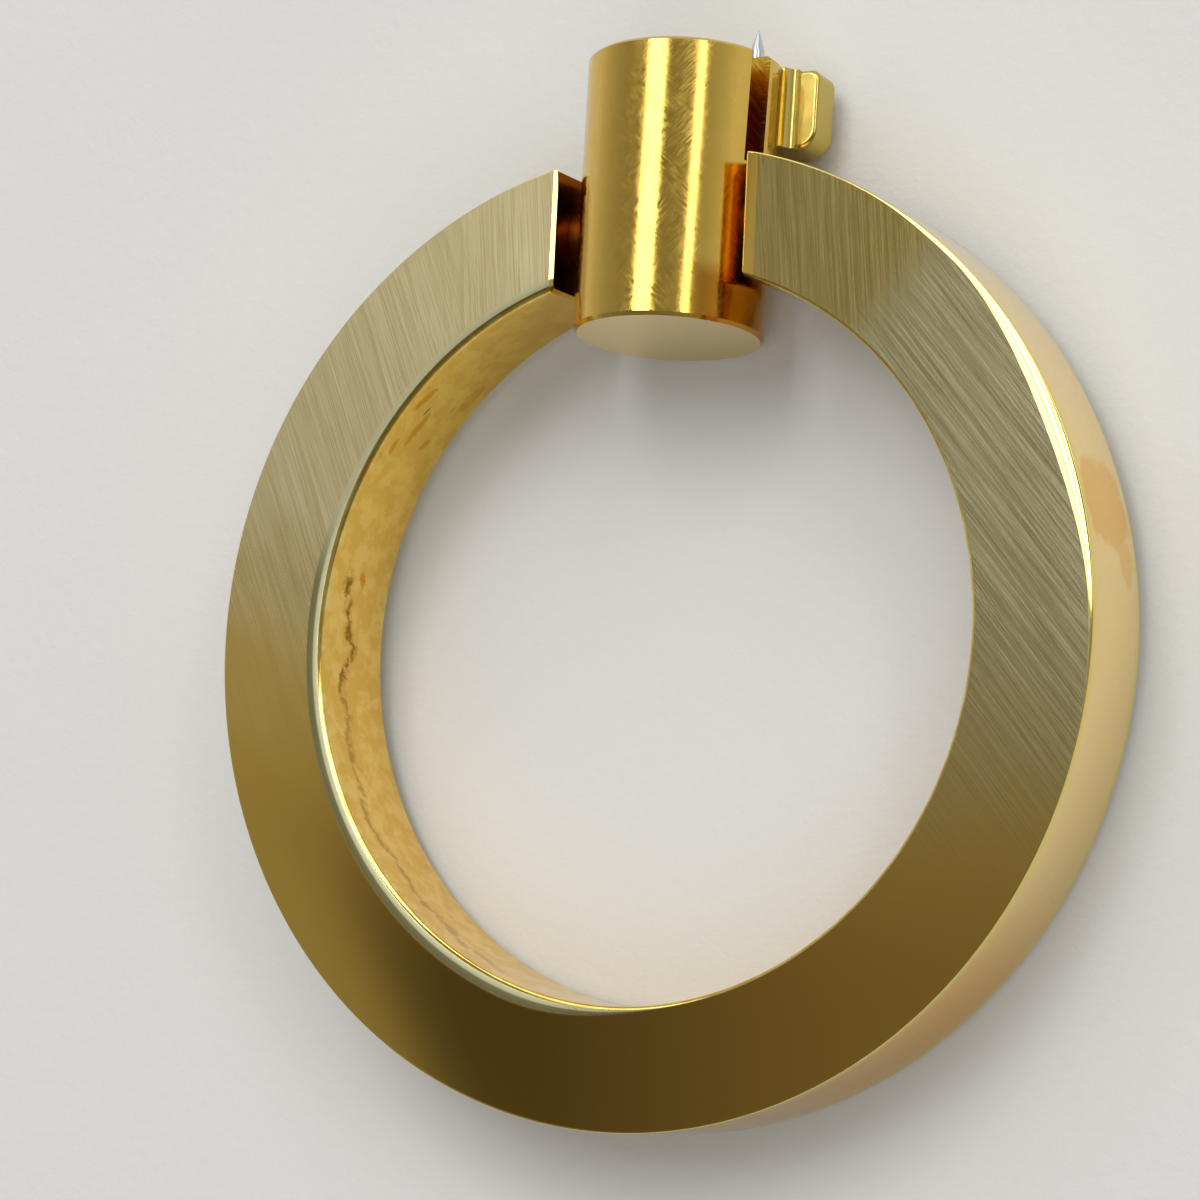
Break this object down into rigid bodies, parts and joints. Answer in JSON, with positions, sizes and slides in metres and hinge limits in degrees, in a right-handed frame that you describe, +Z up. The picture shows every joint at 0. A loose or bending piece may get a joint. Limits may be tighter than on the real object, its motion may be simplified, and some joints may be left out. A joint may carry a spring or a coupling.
{
  "type": "ring pull handle",
  "caption": "Drawer pull: a heavy flat ring swings on a pin through a round post that is screwed on from behind, with a locating spike and a small side lug.",
  "frame": {"origin": "centre of the post's mounting face, on the axis of the fixing hole", "axes": "+Y along the post into the drawer front, X along the pivot pin, +Z up from the table that the pull lies on"},
  "size_m": [0.08, 0.0909, 0.0164],
  "materials": {
    "brushed_brass": "brushed faces, polished rim",
    "polished_brass": "polished along the turning marks",
    "buffed_brass": "buffed",
    "pin_brass": "drawn rod",
    "spike_steel": "bright steel"
  },
  "bodies": {
    "post_body": {"post": "polished_brass", "pivot_pin": "pin_brass", "locating_spike": "spike_steel", "side_lug": "buffed_brass"},
    "ring_body": {"ring": "brushed_brass"}
  },
  "joints": [
    {"name": "ring_swing", "type": "hinge", "parent": "post_body", "child": "ring_body", "pos_m": [0, -0.01435, 0], "axis": [1, 0, 0], "range_deg": [-100, 94.5]}
  ]
}
